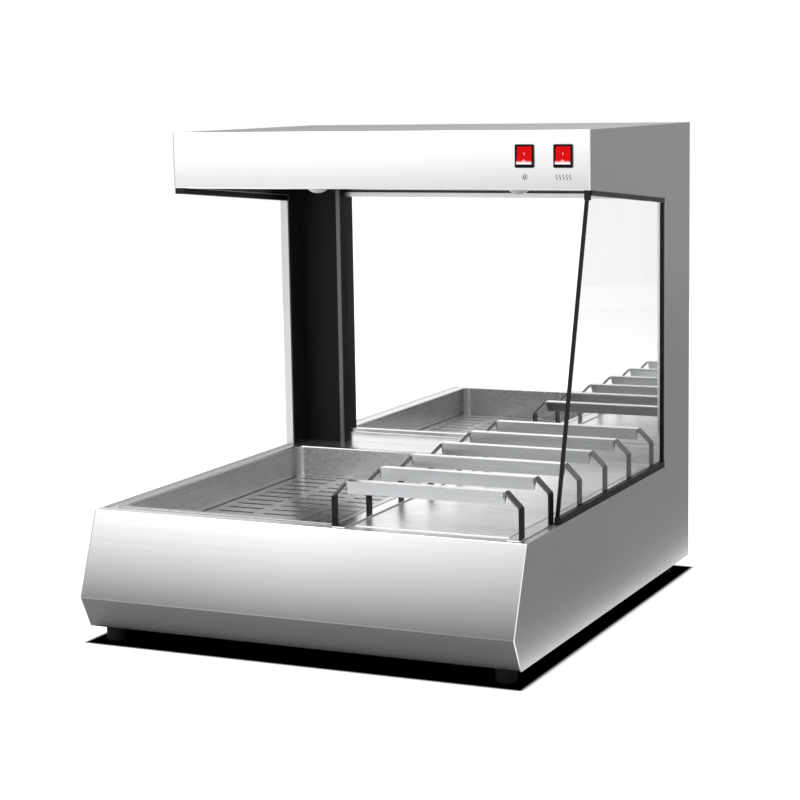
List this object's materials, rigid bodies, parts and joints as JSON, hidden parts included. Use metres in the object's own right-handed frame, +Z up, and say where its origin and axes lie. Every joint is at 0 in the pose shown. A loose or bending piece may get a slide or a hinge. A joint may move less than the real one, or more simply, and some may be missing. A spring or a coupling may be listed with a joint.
{
  "type": "countertop chip warmer",
  "caption": "Countertop food warmer: heated base with a lift-out pan and box rack, mirrored back wall, one glass side, and a hood with heater tubes, lamps and rocker switches.",
  "frame": {"origin": "middle of the footprint on the surface under the feet", "axes": "+X to the right seen from the front, +Y to the back, +Z up"},
  "size_m": [0.59, 0.678, 0.638],
  "materials": {
    "brushed_stainless": "satin brushed sheet",
    "polished_stainless": "polished sheet",
    "pan_stainless": "satin, lightly scratched",
    "mirror": "mirror polished",
    "black_liner": "gloss black",
    "dark_ceiling": "satin black",
    "aluminium_trim": "satin",
    "galvanised_steel": "zinc coated",
    "heater_mat": "mica sheet",
    "quartz": "clear quartz with a coil inside",
    "ceramic": "unglazed ceramic",
    "lamp_glass": "frosted",
    "clear_glass": "clear toughened glass",
    "black_trim": "satin black",
    "grey_trim": "satin dark grey",
    "black_plastic": "moulded",
    "bright_steel": "zinc plated",
    "wire_sleeve": "silicone sleeve",
    "rubber": "moulded",
    "red_lens": "lit translucent red"
  },
  "bodies": {
    "casing": {"base_front_panel": "brushed_stainless", "base_bottom": "brushed_stainless", "left_side_panel": "brushed_stainless", "right_side_panel": "brushed_stainless", "back_panel": "brushed_stainless", "hood_cover": "brushed_stainless", "hood_ceiling": "dark_ceiling", "left_liner": "black_liner", "right_liner": "brushed_stainless", "left_edge_trim": "black_trim", "mirror": "mirror", "mirror_foot_rail": "polished_stainless", "mirror_top_trim": "aluminium_trim", "wiring_duct": "black_liner", "duct_bead": "aluminium_trim", "deck_frame": "polished_stainless", "rack_floor": "polished_stainless", "pan_heater": "heater_mat", "floor_heater": "heater_mat", "heater_rails": "galvanised_steel", "heater_tubes": "quartz", "tube_holders": "ceramic", "tube_reflectors": "polished_stainless", "tube_guards": "polished_stainless", "left_bulb": "lamp_glass", "right_bulb": "lamp_glass", "left_socket": "ceramic", "right_socket": "ceramic", "glass_pane": "clear_glass", "glass_bottom_channel": "black_trim", "glass_top_channel": "grey_trim", "glass_front_trim": "black_trim", "glass_rear_seal": "black_trim", "glass_corner_block": "black_trim", "light_switch_body": "black_plastic", "heat_switch_body": "black_plastic", "light_switch_pin": "bright_steel", "heat_switch_pin": "bright_steel", "thermal_cutout": "black_plastic", "terminal_block": "ceramic", "inlet_cup": "brushed_stainless", "cord_gland": "black_plastic", "wiring_loom": "wire_sleeve", "foot_front_left": "rubber", "foot_front_right": "rubber", "foot_rear_left": "rubber", "foot_rear_right": "rubber", "back_screws": "bright_steel", "foot_screws": "bright_steel"},
    "pan": {"fry_pan": "pan_stainless"},
    "grate": {"drain_grate": "pan_stainless"},
    "rack": {"rack_rails": "polished_stainless", "divider_1": "polished_stainless", "divider_2": "polished_stainless", "divider_3": "polished_stainless", "divider_4": "polished_stainless", "divider_5": "polished_stainless", "divider_6": "polished_stainless"},
    "light_switch": {"light_rocker": "red_lens"},
    "heat_switch": {"heat_rocker": "red_lens"}
  },
  "joints": [
    {"name": "light_switch_rock", "type": "hinge", "parent": "casing", "child": "light_switch", "pos_m": [0.209, -0.07, 0.606], "axis": [1, 0, 0], "range_deg": [0, 16]},
    {"name": "heat_switch_rock", "type": "hinge", "parent": "casing", "child": "heat_switch", "pos_m": [0.26, -0.07, 0.606], "axis": [1, 0, 0], "range_deg": [0, 16]},
    {"name": "pan_lift", "type": "slide", "parent": "casing", "child": "pan", "axis": [0, 0, 1], "range_m": [0, 0.15]},
    {"name": "grate_lift", "type": "slide", "parent": "pan", "child": "grate", "axis": [0, 0, 1], "range_m": [0, 0.12]},
    {"name": "rack_lift", "type": "slide", "parent": "casing", "child": "rack", "axis": [0, 0, 1], "range_m": [0, 0.15]}
  ]
}
